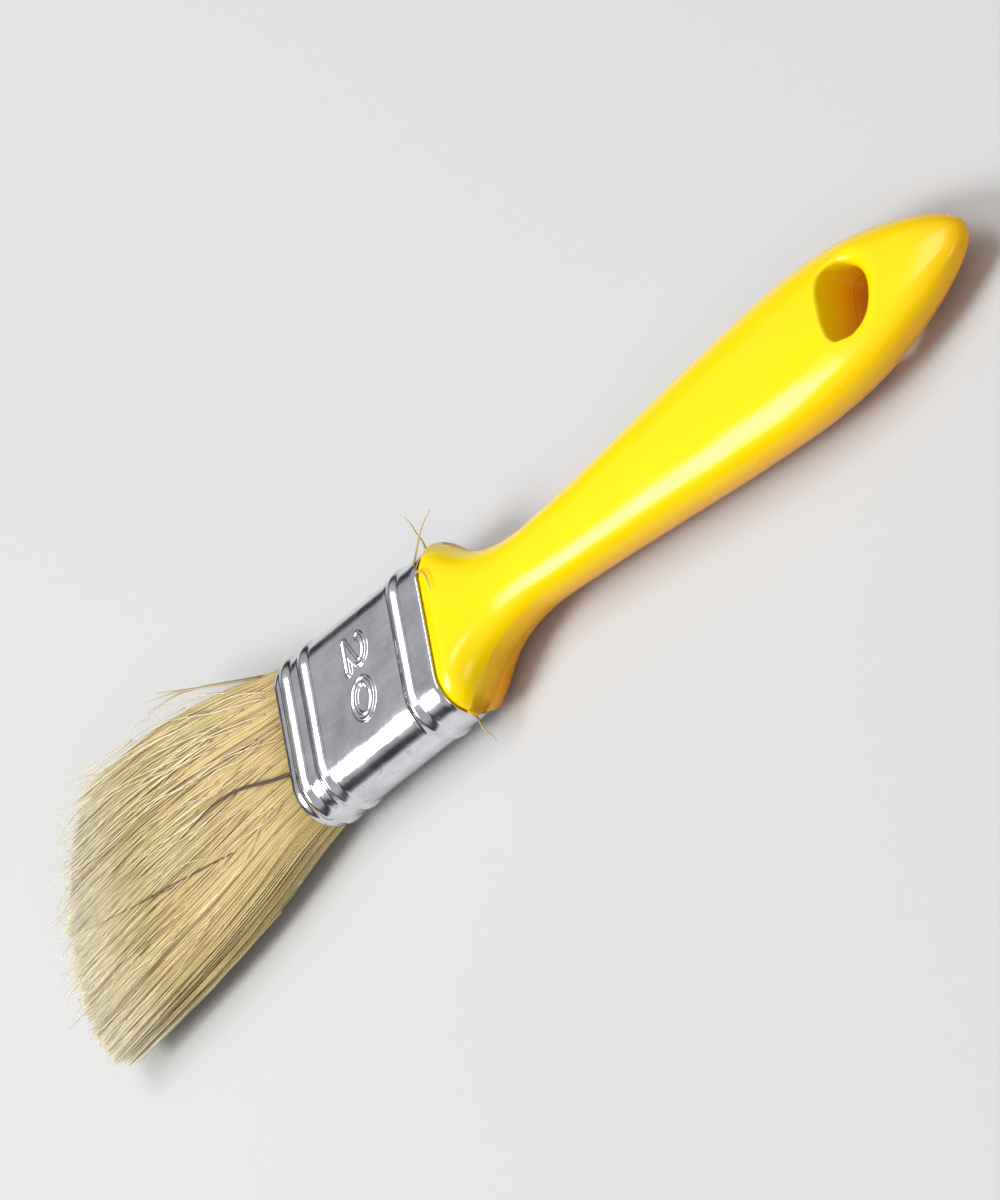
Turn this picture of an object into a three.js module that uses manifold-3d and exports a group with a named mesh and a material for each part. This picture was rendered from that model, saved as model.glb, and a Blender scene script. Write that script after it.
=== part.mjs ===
// A flat 20 mm paint brush lying on its wide face: a moulded plastic handle, a tin-plated ferrule,
// two packs of hog bristle round a wooden spacer, and the resin that sets the bristle roots.
// Millimetres. +X runs from the bristle tips to the handle's end, +Y across the width, +Z up.
// The origin is on the resting plane, under the middle of the whole brush.

import * as THREE from 'three';
import { ParametricGeometry } from 'three/addons/geometries/ParametricGeometry.js';
import { mergeVertices } from 'three/addons/utils/BufferGeometryUtils.js';
import Module from 'manifold-3d';

const wasm = await Module();
wasm.setup();

// ---- ferrule ------------------------------------------------------------------------------
const FERRULE_WIDTH = 20;          // outside, across the brush: the size the brush is sold by
const FERRULE_THICKNESS = 8.4;     // outside, through the wide faces
const FERRULE_LENGTH = 25;
const SHEET = 0.35;                // tin plate
const BEAD_HEIGHT = 0.4;           // how far a rolled bead stands proud
const BEAD_HALF_LENGTH = 1.3;      // half of a bead's base, along the brush
const BEAD_CENTRES = [1.9, 5.1, 20.8];   // from the ferrule's bristle mouth
const BEAD_FADE = 0.8;             // share of the half width over which a bead runs out sideways

// ---- bristles, spacer and resin -----------------------------------------------------------
const BRISTLE_OUT = 40.5;          // bristle showing in front of the ferrule
const BRISTLE_IN = 11;             // bristle held inside it
const FAN_HALF_WIDTH = 14.2;
const FAN_HALF_DEPTH = 4.3;        // both packs together, from the mid-plane to a wide face
const TIP_CROWN = 5.2;             // how far the middle of the tips stands past their corners
const TIP_BLUNTING = 0.25;         // share of its depth that the fan loses at the very tips
const SPACER = { length: 10, width: 13, thickness: 1.6, setBack: 1 };
const RESIN_LENGTH = 2.4;

// ---- handle -------------------------------------------------------------------------------
const HANDLE_OUT = 85.3;           // handle showing behind the ferrule
const TENON_LENGTH = 11;           // handle held inside it
const TENON_CHAMFER = 0.8;
const SHOULDER_BLEND = 14;         // length over which the ferrule's section turns into an oval
const OVAL_POWER = 2.15;           // 2 is an ellipse, more is squarer
const HOLE_START = 66.3;           // straight edge of the hanging hole, from the ferrule's end
const HOLE_HALF_WIDTH = 4.6;
const HOLE_REACH_MIDDLE = 6.2;     // length of the hole half way through the handle
const HOLE_REACH_FACE = 8.4;       // and at its faces, where its end wall slopes away
const HOLE_EDGE_ROUND = 1.0;       // how far the straight edge bows back

// ---- layout -------------------------------------------------------------------------------
const GAP = 0.3;                   // left between pieces that touch on the real brush
const SECTION_STEPS = 36;          // points round a section
const ARC_SHARE = 12 / SECTION_STEPS;    // of those, the share in each of a slot shape's sides
const FLAT_SHARE = 0.5 - ARC_SHARE;      // and in each of its flats
const HANDLE_STEPS = 34;           // stations along the handle
const AXIS_HEIGHT = FERRULE_THICKNESS / 2 + BEAD_HEIGHT;
const MOUTH_X = BRISTLE_OUT - (BRISTLE_OUT + FERRULE_LENGTH + HANDLE_OUT) / 2;
const HEEL_X = MOUTH_X + FERRULE_LENGTH;

const lerp = THREE.MathUtils.lerp;
const smooth = (value) => THREE.MathUtils.smoothstep(value, 0, 1);

// ---- solids -------------------------------------------------------------------------------
/** Joins a surface's seams and poles, and drops the triangles that they flatten. */
function closeSurface(surface) {
  surface.deleteAttribute('normal');
  surface.deleteAttribute('uv');
  const joined = mergeVertices(surface, 1e-4);
  const corners = joined.index.array;
  const kept = [];
  for (let i = 0; i < corners.length; i += 3) {
    const [a, b, c] = corners.slice(i, i + 3);
    if (a !== b && b !== c && c !== a) {
      kept.push(a, b, c);
    }
  }
  joined.setIndex(kept);
  return joined;
}

/** A closed body drawn through stations in order of x, with a point closing each end. A station
 *  has an outline(turn) -> [y, z], a place(y) -> x and a centre [y, z]. */
function loft(stations) {
  const lastRow = stations.length + 1;
  const surface = new ParametricGeometry((u, v, target) => {
    const row = Math.round(v * lastRow);
    const station = stations[THREE.MathUtils.clamp(row - 1, 0, stations.length - 1)];
    const closing = row === 0 || row === lastRow;
    const turn = Math.round(u * SECTION_STEPS) % SECTION_STEPS / SECTION_STEPS;
    const [y, z] = closing ? station.centre : station.outline(turn);
    target.set(station.place(y), y, z);
  }, SECTION_STEPS, lastRow);
  return closeSurface(surface);
}

const stationAt = (x, outline) => ({ outline, place: () => x, centre: [0, 0] });

/** The point some share of the way round an outline made of legs, each [share, point(along)]. */
function walk(turn, legs) {
  let start = 0;
  for (const [share, point] of legs) {
    if (turn < start + share - 1e-9) {
      return point((turn - start) / share);
    }
    start += share;
  }
  return legs[0][1](0);
}

/** A point round a slot shape: a half circle on each side, joined by flats. */
function slotOutline(turn, halfWidth, halfHeight) {
  const flatY = halfWidth - halfHeight;
  const arcPoint = (angle, sideY) => [
    sideY + halfHeight * Math.cos(angle),
    halfHeight * Math.sin(angle),
  ];
  return walk(turn, [
    [ARC_SHARE, (along) => arcPoint(Math.PI * (along - 0.5), flatY)],
    [FLAT_SHARE, (along) => [lerp(flatY, -flatY, along), halfHeight]],
    [ARC_SHARE, (along) => arcPoint(Math.PI * (along + 0.5), -flatY)],
    [FLAT_SHARE, (along) => [lerp(-flatY, flatY, along), -halfHeight]],
  ]);
}

function toSolid(geometry) {
  return new wasm.Manifold(new wasm.Mesh({
    numProp: 3,
    vertProperties: new Float32Array(geometry.attributes.position.array),
    triVerts: new Uint32Array(geometry.index.array),
  }));
}

function toGeometry(solid) {
  const mesh = solid.getMesh();
  const geometry = new THREE.BufferGeometry();
  geometry.setAttribute('position', new THREE.BufferAttribute(mesh.vertProperties, 3));
  geometry.setIndex(new THREE.BufferAttribute(mesh.triVerts, 1));
  return geometry;
}

// ---- ferrule ------------------------------------------------------------------------------
/** How far the sheet stands out: a raised cosine over each bead, running out at the sides. */
function beadRise(x, y) {
  const sideways = Math.abs(y) / (FERRULE_WIDTH / 2);
  const fade = 1 - smooth((sideways - (1 - BEAD_FADE)) / BEAD_FADE);
  const rises = BEAD_CENTRES.map((centre) => {
    const away = Math.min(Math.abs(x - centre) / BEAD_HALF_LENGTH, 1);
    return BEAD_HEIGHT * (1 + Math.cos(away * Math.PI)) / 2;
  });
  return fade * Math.max(...rises);
}

/** A tube of tin plate: along its outside from mouth to heel, back inside, and round the rim. */
function ferruleGeometry() {
  const acrossBead = [-1, -0.5, 0, 0.5, 1].map((step) => step * BEAD_HALF_LENGTH);
  const beads = BEAD_CENTRES.flatMap((centre) => acrossBead.map((offset) => centre + offset));
  const along = [0, ...beads, FERRULE_LENGTH];
  const outside = along.map((x) => ({ x, inset: 0 }));
  const inside = along.toReversed().map((x) => ({ x, inset: SHEET }));
  const rows = [...outside, ...inside, outside[0]];
  const surface = new ParametricGeometry((u, v, target) => {
    const { x, inset } = rows[Math.round(v * (rows.length - 1))];
    const turn = Math.round(u * SECTION_STEPS) % SECTION_STEPS / SECTION_STEPS;
    const [flatY] = slotOutline(turn, FERRULE_WIDTH / 2, FERRULE_THICKNESS / 2);
    const grow = beadRise(x, flatY) - inset;
    const [y, z] = slotOutline(turn, FERRULE_WIDTH / 2 + grow, FERRULE_THICKNESS / 2 + grow);
    target.set(MOUTH_X + x, y, z);
  }, SECTION_STEPS, rows.length - 1);
  return closeSurface(surface);
}

/** The section that fills the ferrule with a gap all round, less any shrinking. */
function fillingOutline(shrink = 0) {
  const inset = SHEET + GAP + shrink;
  return (turn) => slotOutline(turn, FERRULE_WIDTH / 2 - inset, FERRULE_THICKNESS / 2 - inset);
}

// ---- handle -------------------------------------------------------------------------------
/** Distance from the ferrule, half width, half thickness: shoulder, neck, belly and rounded end. */
const handleProfile = new THREE.CatmullRomCurve3([
  new THREE.Vector3(0.0, 10.0, 4.2),
  new THREE.Vector3(1.2, 9.8, 4.35),
  new THREE.Vector3(3.2, 8.3, 4.3),
  new THREE.Vector3(6.6, 6.1, 4.0),
  new THREE.Vector3(12.5, 4.6, 3.65),
  new THREE.Vector3(21.5, 5.1, 3.6),
  new THREE.Vector3(34.5, 6.35, 4.1),
  new THREE.Vector3(50.0, 7.9, 4.5),
  new THREE.Vector3(61.0, 8.5, 4.55),
  new THREE.Vector3(69.5, 7.8, 4.2),
  new THREE.Vector3(76.5, 5.9, 3.3),
  new THREE.Vector3(81.5, 3.8, 2.3),
  new THREE.Vector3(84.3, 1.8, 1.2),
], false, 'centripetal');

/** The handle's section at a point of its profile: the ferrule's slot shape, which eases into an
 *  oval, a superellipse, on its way to the neck. */
function handleStation({ x, y: halfWidth, z: halfHeight }) {
  const roundness = smooth(x / SHOULDER_BLEND);
  const squared = (value) => Math.sign(value) * Math.abs(value) ** (2 / OVAL_POWER);
  return stationAt(HEEL_X + GAP + x, (turn) => {
    const [slotY, slotZ] = slotOutline(turn, halfWidth, halfHeight);
    const angle = Math.atan2(slotZ / halfHeight, slotY / halfWidth);
    const ovalY = halfWidth * squared(Math.cos(angle));
    const ovalZ = halfHeight * squared(Math.sin(angle));
    return [lerp(slotY, ovalY, roundness), lerp(slotZ, ovalZ, roundness)];
  });
}

function handleGeometry() {
  const tenonX = HEEL_X - TENON_LENGTH;
  const tenon = [
    stationAt(tenonX, fillingOutline(TENON_CHAMFER)),
    stationAt(tenonX + TENON_CHAMFER, fillingOutline()),
    stationAt(HEEL_X + GAP, fillingOutline()),
  ];
  const grip = handleProfile.getSpacedPoints(HANDLE_STEPS).map(handleStation);
  const end = stationAt(HEEL_X + HANDLE_OUT, () => [0, 0]);
  const body = toSolid(loft([...tenon, ...grip, end]));
  return toGeometry(body.subtract(toSolid(hangingHole())));
}

/** The hanging hole's cutter: nearly straight towards the ferrule, half an ellipse towards the
 *  handle's end, where it reaches further at each face than half way through. */
function hangingHole() {
  const centreX = HEEL_X + HOLE_START + HOLE_EDGE_ROUND;
  const levels = [-1.3, -1, -0.75, -0.5, -0.25, 0, 0.25, 0.5, 0.75, 1, 1.3];
  const rows = [levels[0], ...levels, levels.at(-1)];
  const surface = new ParametricGeometry((u, v, target) => {
    const row = Math.round(v * (rows.length - 1));
    const level = rows[row];
    const closing = row === 0 || row === rows.length - 1;
    const reach = lerp(HOLE_REACH_MIDDLE, HOLE_REACH_FACE, smooth(Math.abs(level)));
    const angle = Math.round(u * SECTION_STEPS) % SECTION_STEPS / SECTION_STEPS * 2 * Math.PI;
    const towardsEnd = Math.cos(angle);
    const depth = towardsEnd > 0 ? reach - HOLE_EDGE_ROUND : HOLE_EDGE_ROUND;
    const x = closing ? centreX : centreX + depth * towardsEnd;
    const y = closing ? 0 : HOLE_HALF_WIDTH * Math.sin(angle);
    target.set(x, y, level * FERRULE_THICKNESS / 2);
  }, SECTION_STEPS, rows.length - 1);
  return closeSurface(surface);
}

// ---- bristles -----------------------------------------------------------------------------
/** A point round the outer part of a slot shape that is cut off flat at `inner`. */
function packOutline(turn, halfWidth, outer, inner) {
  const lowest = Math.asin(inner / outer);
  const flatY = halfWidth - outer;
  const edge = flatY + outer * Math.cos(lowest);
  const arcPoint = (angle, sideY) => [sideY + outer * Math.cos(angle), outer * Math.sin(angle)];
  return walk(turn, [
    [0.25, (along) => arcPoint(lerp(lowest, Math.PI / 2, along), flatY)],
    [0.25, (along) => [lerp(flatY, -flatY, along), outer]],
    [0.25, (along) => arcPoint(lerp(Math.PI / 2, Math.PI - lowest, along), -flatY)],
    [0.25, (along) => [lerp(-edge, edge, along), inner]],
  ]);
}

/** The bristles above (side 1) or below (side -1) the spacer, fanning out in front of it. */
function bristlePack(side) {
  const packedHalfWidth = FERRULE_WIDTH / 2 - SHEET - GAP;
  const packedOuter = FERRULE_THICKNESS / 2 - SHEET - GAP;
  const packedInner = SPACER.thickness / 2 + GAP;

  const fanStation = (share) => {
    const spread = Math.sin(share * Math.PI / 2);
    const blunt = 1 - TIP_BLUNTING * smooth((share - 0.85) / 0.15);
    const halfWidth = lerp(packedHalfWidth, FAN_HALF_WIDTH, spread);
    const outer = lerp(packedOuter, FAN_HALF_DEPTH, spread) * blunt;
    const inner = lerp(packedInner, GAP / 2, smooth(share * 3));
    const crown = (y) => TIP_CROWN * (share * y / FAN_HALF_WIDTH) ** 2;
    return {
      outline: (turn) => packOutline(turn, halfWidth, outer, inner).map((value) => side * value),
      place: (y) => MOUTH_X - share * BRISTLE_OUT + crown(y),
      centre: [0, side * (inner + outer) / 2],
    };
  };

  const fromTips = [1, 0.97, 0.9, 0.8, 0.65, 0.5, 0.35, 0.2, 0.08, 0];
  const root = { ...fanStation(0), place: () => MOUTH_X + BRISTLE_IN };
  return loft([...fromTips.map(fanStation), root]);
}

// ---- hidden pieces ------------------------------------------------------------------------
function spacerGeometry() {
  const strip = new THREE.BoxGeometry(SPACER.length, SPACER.width, SPACER.thickness);
  strip.translate(MOUTH_X + SPACER.setBack + SPACER.length / 2, 0, 0);
  return strip;
}

function resinGeometry() {
  const frontX = MOUTH_X + BRISTLE_IN + GAP;
  return loft([
    stationAt(frontX, fillingOutline()),
    stationAt(frontX + RESIN_LENGTH, fillingOutline()),
  ]);
}

// ---- materials and assembly ---------------------------------------------------------------
const yellowPlastic = { color: 0xffd800, roughness: 0.25, metalness: 0 };
const tinPlate = { color: 0xc4c6c8, roughness: 0.2, metalness: 1 };
const hogBristle = { color: 0xd8c285, roughness: 0.6, metalness: 0 };
const paleWood = { color: 0xb58a55, roughness: 0.8, metalness: 0 };
const settingResin = { color: 0x6b4a22, roughness: 0.4, metalness: 0 };

const brush = new THREE.Group();
brush.position.z = AXIS_HEIGHT;

function addPiece(name, geometry, look) {
  const piece = new THREE.Mesh(geometry, new THREE.MeshStandardMaterial(look));
  piece.name = name;
  brush.add(piece);
}

addPiece('ferrule', ferruleGeometry(), tinPlate);
addPiece('handle', handleGeometry(), yellowPlastic);
addPiece('bristle_pack_upper', bristlePack(1), hogBristle);
addPiece('bristle_pack_lower', bristlePack(-1), hogBristle);
addPiece('spacer_strip', spacerGeometry(), paleWood);
addPiece('resin_block', resinGeometry(), settingResin);

export default brush;
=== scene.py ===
"""The looks of a flat 20 mm paint brush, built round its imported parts.

The brush lies on its wide face. +X runs from the bristle tips to the handle's end, +Y across the
width and +Z up. Everything is in metres, in the frame of the parts.
"""

import math

import bpy
import numpy as np
from bpy.props import FloatProperty, FloatVectorProperty, IntProperty, PointerProperty
from bpy.types import Operator, Panel, PropertyGroup
from mathutils import Matrix, Vector


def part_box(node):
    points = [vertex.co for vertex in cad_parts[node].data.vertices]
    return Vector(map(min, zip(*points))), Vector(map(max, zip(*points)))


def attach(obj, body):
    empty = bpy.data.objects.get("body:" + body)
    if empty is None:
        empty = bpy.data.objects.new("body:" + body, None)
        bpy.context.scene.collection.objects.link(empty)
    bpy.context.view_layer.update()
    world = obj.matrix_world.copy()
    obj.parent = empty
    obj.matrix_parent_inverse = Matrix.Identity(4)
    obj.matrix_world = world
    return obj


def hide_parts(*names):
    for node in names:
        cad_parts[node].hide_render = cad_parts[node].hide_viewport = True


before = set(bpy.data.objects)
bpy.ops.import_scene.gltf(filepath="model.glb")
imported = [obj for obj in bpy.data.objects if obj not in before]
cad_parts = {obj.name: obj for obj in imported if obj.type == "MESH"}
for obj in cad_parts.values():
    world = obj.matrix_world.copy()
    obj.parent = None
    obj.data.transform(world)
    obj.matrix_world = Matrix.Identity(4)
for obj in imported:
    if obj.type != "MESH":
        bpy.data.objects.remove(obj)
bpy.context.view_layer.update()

bl_info = {
    "name": "Flat paint brush",
    "version": (1, 0, 0),
    "blender": (4, 5, 0),
    "location": "3D View > Sidebar > Brush",
    "description": "Builds the handle, ferrule and bristles of a flat paint brush",
    "category": "Add Mesh",
}

MM = 0.001
FERRULE_LOW, FERRULE_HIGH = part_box("ferrule")
MOUTH_X = FERRULE_LOW[0]
HEEL_X = FERRULE_HIGH[0]
AXIS_Z = (FERRULE_LOW[2] + FERRULE_HIGH[2]) / 2
SLOT_HALF_WIDTH = 10 * MM
SLOT_HALF_HEIGHT = 4.2 * MM
SLOT_FLAT_SHARE = 0.4
OVAL_POWER = 2.15
WELD_DISTANCE = 1e-6


# ---- shapes -------------------------------------------------------------------------------
def smooth(value):
    """The cubic step from 0 to 1, flat at both ends."""
    held = np.clip(value, 0, 1)
    return held * held * (3 - 2 * held)


def mix(start, end, share):
    return start + (end - start) * share


def smooth_curve(stations, count):
    """Points evenly spaced along the cubic curve that passes through the stations."""
    stations = np.asarray(stations, dtype=float)
    chords = np.linalg.norm(np.diff(stations, axis=0), axis=1)
    knots = np.concatenate([[0], np.cumsum(np.sqrt(chords))])
    slopes = np.gradient(stations, knots, axis=0)
    fine = np.linspace(0, knots[-1], 20 * count)
    leg = np.clip(np.searchsorted(knots, fine, side="right") - 1, 0, len(chords) - 1)
    span = (knots[leg + 1] - knots[leg])[:, None]
    t = (fine - knots[leg])[:, None] / span
    curve = (
        (2 * t**3 - 3 * t**2 + 1) * stations[leg]
        + (t**3 - 2 * t**2 + t) * span * slopes[leg]
        + (3 * t**2 - 2 * t**3) * stations[leg + 1]
        + (t**3 - t**2) * span * slopes[leg + 1]
    )
    return evenly_spaced(curve, count)


def evenly_spaced(line, count):
    """The line again, as points evenly spaced along it."""
    lengths = np.linalg.norm(np.diff(line, axis=0), axis=1)
    reached = np.concatenate([[0], np.cumsum(lengths)])
    wanted = np.linspace(0, reached[-1], count)
    return np.stack([np.interp(wanted, reached, column) for column in line.T], axis=1)


def slot_point(across, half_width, half_height):
    """Height and width over the upper half of a slot shape, for across from -1 to 1: a flat in the
    middle and a quarter circle at each side."""
    distance = np.abs(across)
    flat = half_width - half_height
    angle = np.clip((distance - SLOT_FLAT_SHARE) / (1 - SLOT_FLAT_SHARE), 0, 1) * math.pi / 2
    on_flat = np.clip(distance / SLOT_FLAT_SHARE, 0, 1) * flat
    return np.sign(across) * (on_flat + half_height * np.sin(angle)), half_height * np.cos(angle)


def oval_point(across, half_width, half_height):
    """The same for a superellipse."""
    angle = np.abs(across) * math.pi / 2
    power = 2 / OVAL_POWER
    width = np.sign(across) * half_width * np.sin(angle) ** power
    return width, half_height * np.clip(np.cos(angle), 0, 1) ** power


def grid_quads(rows, columns, wrap_rows=False, wrap_columns=False):
    """The four-sided faces of a grid of points, joined round where a direction wraps."""
    row = np.arange(rows if wrap_rows else rows - 1)[:, None]
    column = np.arange(columns if wrap_columns else columns - 1)[None, :]
    next_row = (row + 1) % rows
    next_column = (column + 1) % columns
    corners = [
        row * columns + column,
        row * columns + next_column,
        next_row * columns + next_column,
        next_row * columns + column,
    ]
    return np.stack([np.broadcast_to(c, (row.size, column.size)) for c in corners], -1).reshape(-1, 4)


def weld(points, quads):
    """Joins points that share a place and drops the faces that this flattens."""
    _, first, where = np.unique(
        np.round(points / WELD_DISTANCE).astype(np.int64), axis=0, return_index=True, return_inverse=True
    )
    triangles = where.reshape(-1)[np.concatenate([quads[:, [0, 1, 2]], quads[:, [0, 2, 3]]])]
    a, b, c = triangles.T
    return points[first], triangles[(a != b) & (b != c) & (c != a)]


def turned_out(points, faces):
    """The faces, turned over if the volume that they enclose comes out negative."""
    a, b, c = points[faces[:, 0]], points[faces[:, 1]], points[faces[:, 2]]
    volume = np.einsum("ij,ij->", a, np.cross(b, c))
    if faces.shape[1] == 4:
        d = points[faces[:, 3]]
        volume += np.einsum("ij,ij->", a, np.cross(c, d))
    return faces[:, ::-1] if volume < 0 else faces


def add_object(name, points, *face_sets, attributes=None):
    """A smooth-shaded mesh object from whole arrays of points and faces."""
    mesh = bpy.data.meshes.new(name)
    corners = np.concatenate([faces.reshape(-1) for faces in face_sets])
    sizes = np.concatenate([np.full(len(faces), faces.shape[1]) for faces in face_sets])
    starts = np.concatenate([[0], np.cumsum(sizes)[:-1]])
    mesh.vertices.add(len(points))
    mesh.vertices.foreach_set("co", points.astype(np.float32).reshape(-1))
    mesh.loops.add(len(corners))
    mesh.loops.foreach_set("vertex_index", corners.astype(np.int32))
    mesh.polygons.add(len(sizes))
    mesh.polygons.foreach_set("loop_start", starts.astype(np.int32))
    for attribute, values in (attributes or {}).items():
        layer = mesh.attributes.new(attribute, "FLOAT", "POINT")
        layer.data.foreach_set("value", values.astype(np.float32).reshape(-1))
    mesh.update(calc_edges=True)
    mesh.validate()
    mesh.shade_smooth()
    piece = bpy.data.objects.new(name, mesh)
    bpy.context.scene.collection.objects.link(piece)
    return piece


def settle_piece(piece, material, slot, *nodes):
    """Gives a piece its material and its place in the object, and hides the parts that it stands for."""
    piece.data.materials.append(material)
    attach(piece, "root")
    if nodes:
        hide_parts(*nodes)


# ---- materials ----------------------------------------------------------------------------
def set_stops(ramp, stops):
    """Gives a colour ramp its (place, colour) stops."""
    while len(ramp.elements) < len(stops):
        ramp.elements.new(1.0)
    for element, (place, colour) in zip(ramp.elements, stops):
        element.position = place
        element.color = (*colour, 1.0)


class Shader:
    """A material's node tree, with short ways to add the nodes that the looks share."""

    def __init__(self, name):
        self.material = bpy.data.materials.new(name)
        self.material.use_nodes = True
        self.tree = self.material.node_tree
        self.surface = self.tree.nodes["Principled BSDF"]
        self.place = self.tree.nodes.new("ShaderNodeTexCoord").outputs["Object"]

    def add(self, kind, settings=None, **inputs):
        """A node with its settings, and with each named input linked or set."""
        node = self.tree.nodes.new(kind)
        for name, value in (settings or {}).items():
            setattr(node, name, value)
        for name, value in inputs.items():
            self.feed(node.inputs[name], value)
        return node

    def feed(self, socket, value):
        if isinstance(value, bpy.types.NodeSocket):
            self.tree.links.new(value, socket)
        else:
            socket.default_value = value

    def set(self, **values):
        """Sets or links the surface's own inputs; an underscore stands for a space."""
        for name, value in values.items():
            self.feed(self.surface.inputs[name.replace("_", " ")], value)

    def stretched(self, x, y, z):
        """Object coordinates scaled along each axis, for streaks and grain."""
        return self.add("ShaderNodeMapping", Vector=self.place, Scale=(x, y, z)).outputs["Vector"]

    def noise(self, vector, scale, detail=4.0, roughness=0.55):
        node = self.add(
            "ShaderNodeTexNoise", Vector=vector, Scale=scale, Detail=detail, Roughness=roughness
        )
        return node.outputs["Fac"]

    def between(self, value, low, high, out_low=0.0, out_high=1.0):
        """Maps a value's range to another, held at both ends."""
        node = self.add("ShaderNodeMapRange", Value=value)
        for socket, number in zip(node.inputs[1:5], (low, high, out_low, out_high)):
            socket.default_value = number
        return node.outputs["Result"]

    def math(self, operation, first, second=0.0):
        node = self.add("ShaderNodeMath", {"operation": operation})
        self.feed(node.inputs[0], first)
        self.feed(node.inputs[1], second)
        return node.outputs["Value"]

    def ramp(self, value, *stops):
        """A colour ramp through (place, colour) stops."""
        node = self.add("ShaderNodeValToRGB", Fac=value)
        set_stops(node.color_ramp, stops)
        return node.outputs["Color"]

    def blend(self, share, first, second, kind="MIX"):
        """Two colours mixed by a share."""
        node = self.add("ShaderNodeMix", {"data_type": "RGBA", "blend_type": kind})
        self.feed(node.inputs[0], share)
        self.feed(node.inputs[6], first)
        self.feed(node.inputs[7], second)
        return node.outputs[2]

    def bump(self, height, distance, normal=None):
        """A bump of that depth in metres, laid over another where one is given."""
        node = self.add("ShaderNodeBump", Height=height, Distance=distance)
        if normal is not None:
            self.feed(node.inputs["Normal"], normal)
        return node.outputs["Normal"]


def yellow_plastic(settings):
    """Glossy moulded plastic: warm yellow with painted shade, deeper orange low on its sides,
    with a parting line, sink ripples and fine handling scratches."""
    look = Shader("yellow_plastic")
    height = look.add("ShaderNodeSeparateXYZ", Vector=look.place).outputs["Z"]
    # Painted shade: this mask by height deepens the colour to orange towards the foot of the sides.
    low = look.between(height, 1.0 * MM, 8.0 * MM)
    cloud = look.noise(look.place, 90.0, 3.0)
    tone = look.math("ADD", look.math("MULTIPLY", low, 0.9), look.math("MULTIPLY", cloud, 0.1))
    colour = look.ramp(
        tone, (0.0, settings.low_shade_colour), (0.5, settings.side_shade_colour), (0.85, settings.top_colour)
    )
    smear = look.noise(look.stretched(120, 420, 420), 1.0, 5.0, 0.65)
    scratch = look.noise(look.stretched(260, 5200, 5200), 1.0, 2.0, 0.5)
    off_line = look.math("ABSOLUTE", look.math("SUBTRACT", height, AXIS_Z - 1.0 * MM))
    line = look.between(off_line, 0.0, 0.14 * MM, 1.0, 0.0)
    ripples = look.bump(look.noise(look.place, 210.0, 2.0), 0.05 * MM)
    scratched = look.bump(look.between(scratch, 0.62, 0.78), 0.006 * MM, ripples)
    parted = look.bump(line, 0.07 * MM, scratched)
    look.set(
        Base_Color=colour,
        Roughness=look.between(smear, 0.35, 0.75, 0.15, 0.27),
        Normal=parted,
        Specular_IOR_Level=0.3,
        Subsurface_Weight=0.12,
        Subsurface_Radius=(0.9, 0.45, 0.05),
        Subsurface_Scale=1.5 * MM,
    )
    return look.material


def tin_plate(settings):
    """Bright tin plate: rolling streaks along the brush, scuffs across it and a few dull spots."""
    look = Shader("tin_plate")
    rolled = look.noise(look.stretched(90, 2600, 2600), 1.0, 5.0, 0.6)
    scuffed = look.noise(look.stretched(2600, 160, 260), 1.0, 3.0, 0.5)
    smear = look.noise(look.place, 260.0, 5.0, 0.62)
    spots = look.between(look.noise(look.place, 1500.0, 3.0), 0.63, 0.72)
    colour = look.ramp(
        look.math("MULTIPLY", smear, look.between(rolled, 0.2, 0.7, 0.8, 1.1)),
        (0.25, settings.dull_colour),
        (0.6, settings.bright_colour),
    )
    dulled = look.blend(look.math("MULTIPLY", spots, 0.5), colour, (0.42, 0.42, 0.41, 1.0))
    streaks = look.bump(rolled, 0.006 * MM)
    scratched = look.bump(look.between(scuffed, 0.66, 0.8), 0.004 * MM, streaks)
    rough = look.math("ADD", look.between(smear, 0.35, 0.7, 0.10, 0.24), look.math("MULTIPLY", spots, 0.2))
    look.set(Base_Color=dulled, Metallic=1.0, Roughness=rough, Normal=scratched)
    return look.material


def hog_bristle(name, root, middle, tip):
    """Natural hair: each strand has its own tone, and pales from its root to its split tip."""
    look = Shader(name)
    tone = look.add("ShaderNodeAttribute", {"attribute_name": "tone"}).outputs["Fac"]
    along = look.add("ShaderNodeAttribute", {"attribute_name": "along"}).outputs["Fac"]
    grown = look.ramp(along, (0.0, root), (0.45, middle), (0.72, middle), (0.97, tip))
    deep = look.blend(1.0, grown, (0.40, 0.31, 0.19, 1.0), "MULTIPLY")
    bright = look.blend(1.0, grown, (1.12, 1.10, 1.06, 1.0), "MULTIPLY")
    shade = look.blend(look.between(tone, 0.0, 0.55), deep, bright)
    flecks = look.noise(look.stretched(700, 9000, 9000), 1.0, 3.0)
    flecked = look.blend(look.between(flecks, 0.4, 0.75, 0.0, 0.28), shade, (0.34, 0.2, 0.07, 1.0))
    look.set(
        Base_Color=flecked,
        Roughness=look.between(flecks, 0.3, 0.7, 0.36, 0.6),
        Specular_IOR_Level=0.45,
        Sheen_Weight=0.12,
    )
    return look.material


def shaded_core_hair():
    """The dense hair under the surface strands, painted dark brown as the shade in the gaps
    between them, with streaks along the brush.
    """
    look = Shader("shaded_core_hair")
    streak = look.noise(look.stretched(120, 5200, 5200), 1.0, 6.0, 0.7)
    colour = look.ramp(
        streak, (0.3, (0.09, 0.05, 0.02)), (0.55, (0.30, 0.20, 0.08)), (0.8, (0.46, 0.33, 0.14))
    )
    look.set(Base_Color=colour, Roughness=0.75, Normal=look.bump(streak, 0.2 * MM))
    return look.material


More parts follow.
